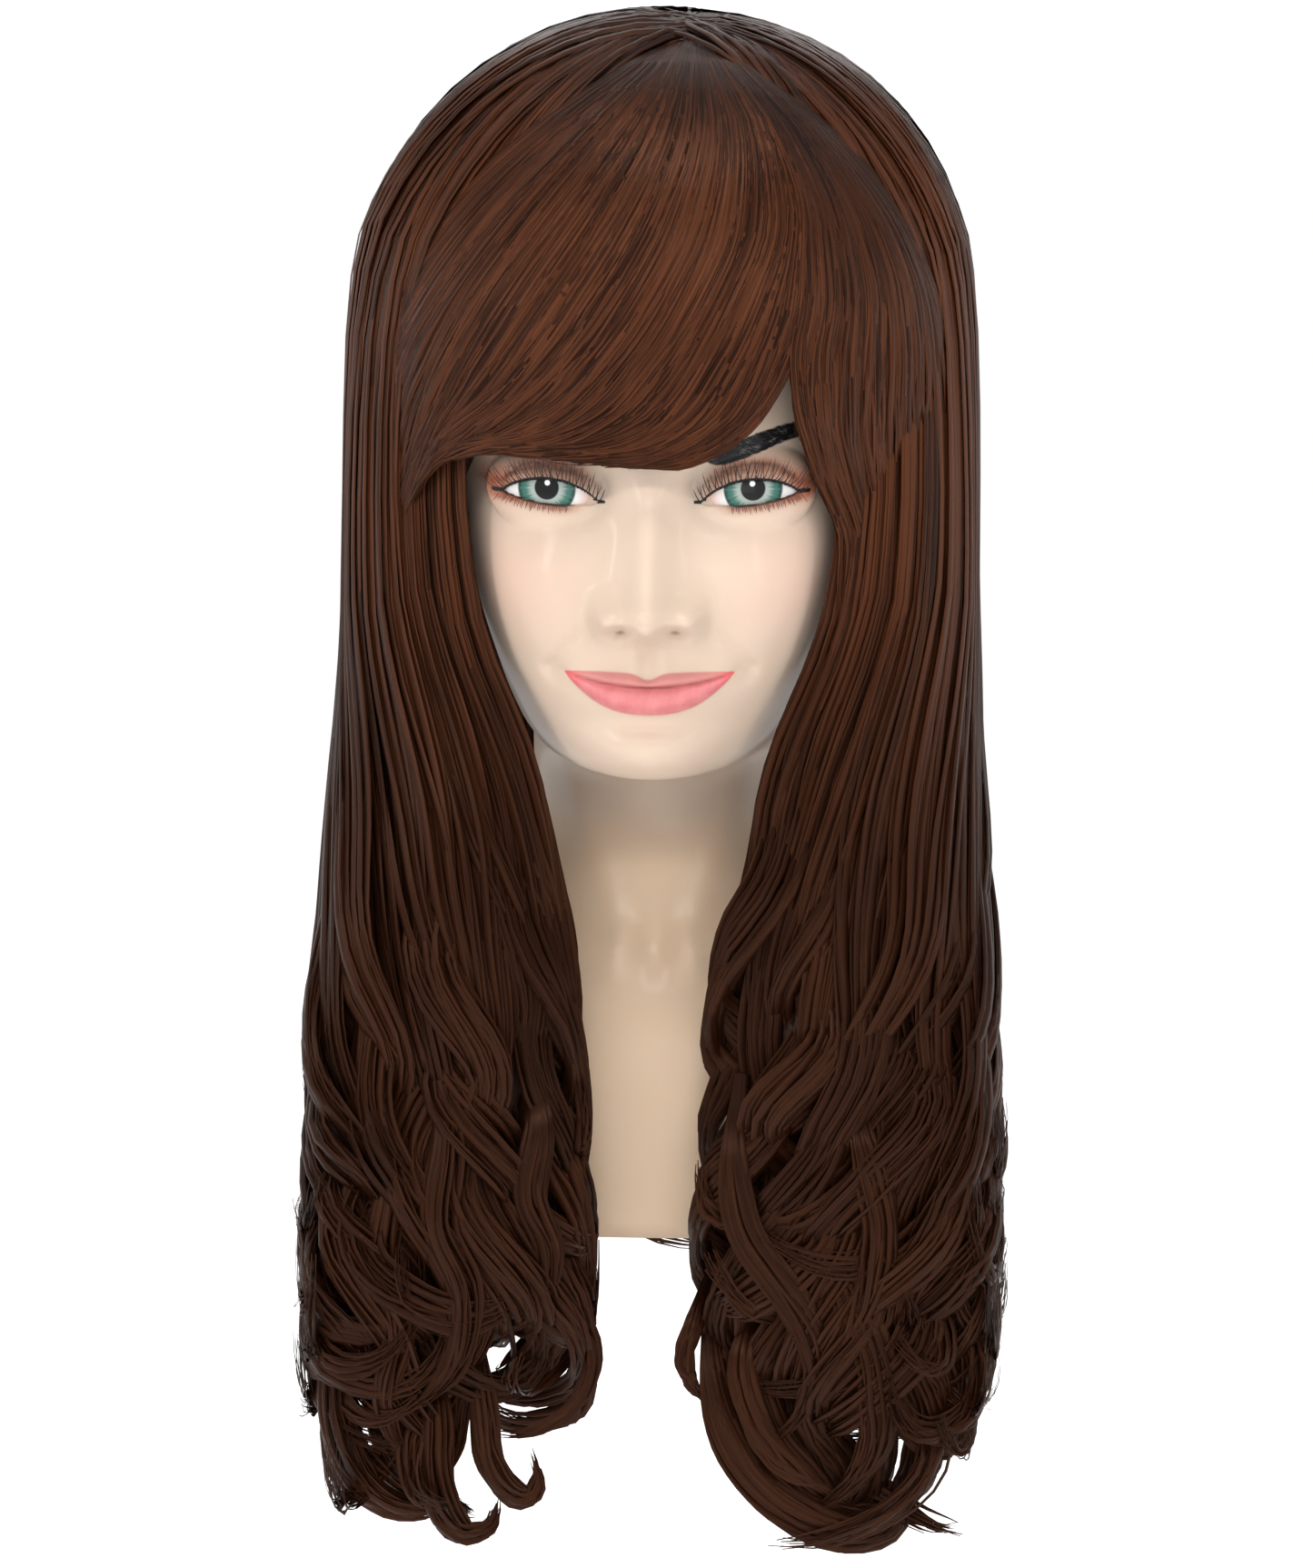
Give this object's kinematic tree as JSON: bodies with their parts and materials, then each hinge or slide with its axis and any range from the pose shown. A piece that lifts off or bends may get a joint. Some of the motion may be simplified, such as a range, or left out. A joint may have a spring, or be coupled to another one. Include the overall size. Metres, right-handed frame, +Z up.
{
  "type": "mannequin training head",
  "caption": "Moulded display head and bust with a removable long side-swept wavy wig, on a screwed base plate with a table-clamp socket.",
  "frame": {"origin": "centre of the clamp socket's mouth, in the plane of the bust's flat base", "axes": "+Z up along the socket, the face looks along -Y, the mannequin's left is +X"},
  "size_m": [0.2206, 0.23, 0.488],
  "materials": {
    "skin_pvc": "glossy moulded PVC with painted make-up",
    "base_board": "sealed fibre board",
    "block_wood": "raw softwood",
    "socket_plastic": "moulded black",
    "zinc_screw": "zinc plated",
    "lash_fibre": "black synthetic fibre",
    "binding_tape": "woven tape",
    "parting_mesh": "fine skin-toned mesh",
    "weft_tape": "stitched weft",
    "strap_elastic": "knitted elastic",
    "hook_plastic": "moulded black",
    "lace": "fine lace",
    "cap_net": "elastic net",
    "hair_fibre": "glossy synthetic hair fibre"
  },
  "bodies": {
    "mannequin": {"head_shell": "skin_pvc", "base_plate": "base_board", "screw_blocks": "block_wood", "clamp_socket": "socket_plastic", "plate_screws": "zinc_screw", "socket_screws": "zinc_screw", "eyelash_right": "lash_fibre", "eyelash_left": "lash_fibre"},
    "wig": {"cap_edge_binding": "binding_tape", "parting_skin": "parting_mesh", "back_wefts": "weft_tape", "side_wefts": "weft_tape", "hook_ladder": "strap_elastic", "cap_front_lace": "lace", "cap_crown_net": "cap_net", "cap_nape_panel": "cap_net", "cap_ear_tab_right": "lace", "cap_ear_tab_left": "lace", "hair_fringe": "hair_fibre", "hair_temple_left": "hair_fibre", "hair_crown_left": "hair_fibre", "hair_crown_back": "hair_fibre", "hair_crown_right": "hair_fibre", "hair_front_length_left": "hair_fibre", "hair_front_length_right": "hair_fibre", "hair_curl_length_left": "hair_fibre", "hair_curl_length_right": "hair_fibre", "hair_back_length_left": "hair_fibre", "hair_back_length_right": "hair_fibre"},
    "adjuster_left": {"adjuster_strap_left": "strap_elastic", "adjuster_hook_left": "hook_plastic"},
    "adjuster_right": {"adjuster_strap_right": "strap_elastic", "adjuster_hook_right": "hook_plastic"}
  },
  "joints": [
    {"name": "wig_lift", "type": "slide", "parent": "mannequin", "child": "wig", "axis": [0, 0, 1], "range_m": [0, 0.52], "deforming": ["hair_front_length_left", "hair_front_length_right", "hair_curl_length_left", "hair_curl_length_right"]},
    {"name": "adjuster_left_hook", "type": "hinge", "parent": "wig", "child": "adjuster_left", "pos_m": [0, 0.0415, 0.2], "axis": [0, 0, 1], "range_deg": [0, 8]},
    {"name": "adjuster_right_hook", "type": "hinge", "parent": "wig", "child": "adjuster_right", "pos_m": [0, 0.0415, 0.2], "axis": [0, 0, -1], "range_deg": [0, 8]}
  ]
}
